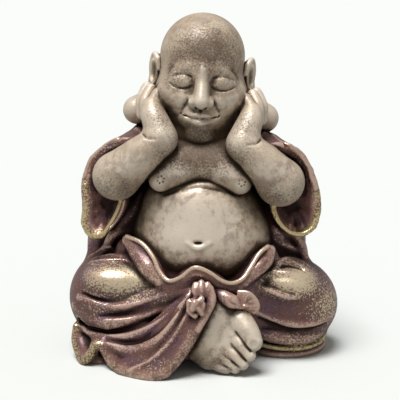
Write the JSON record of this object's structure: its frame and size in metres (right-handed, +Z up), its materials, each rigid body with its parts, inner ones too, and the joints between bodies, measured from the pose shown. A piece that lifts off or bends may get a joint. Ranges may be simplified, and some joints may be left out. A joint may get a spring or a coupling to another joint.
{
  "type": "budai figure",
  "caption": "Seated stout bald monk in a loose robe, cross-legged, hands held to the cheeks; a cast resin ornament that stands on its flat underside.",
  "frame": {"origin": "middle of the bounding box at the flat underside, so the part stands on z = 0", "axes": "+Z up, from the underside to the crown; the figure faces -Y; +X towards its left hand"},
  "size_m": [0.1922, 0.1474, 0.2401],
  "materials": {
    "painted_resin": "satin"
  },
  "bodies": {
    "root": {"budai_figure": "painted_resin"}
  },
  "joints": []
}
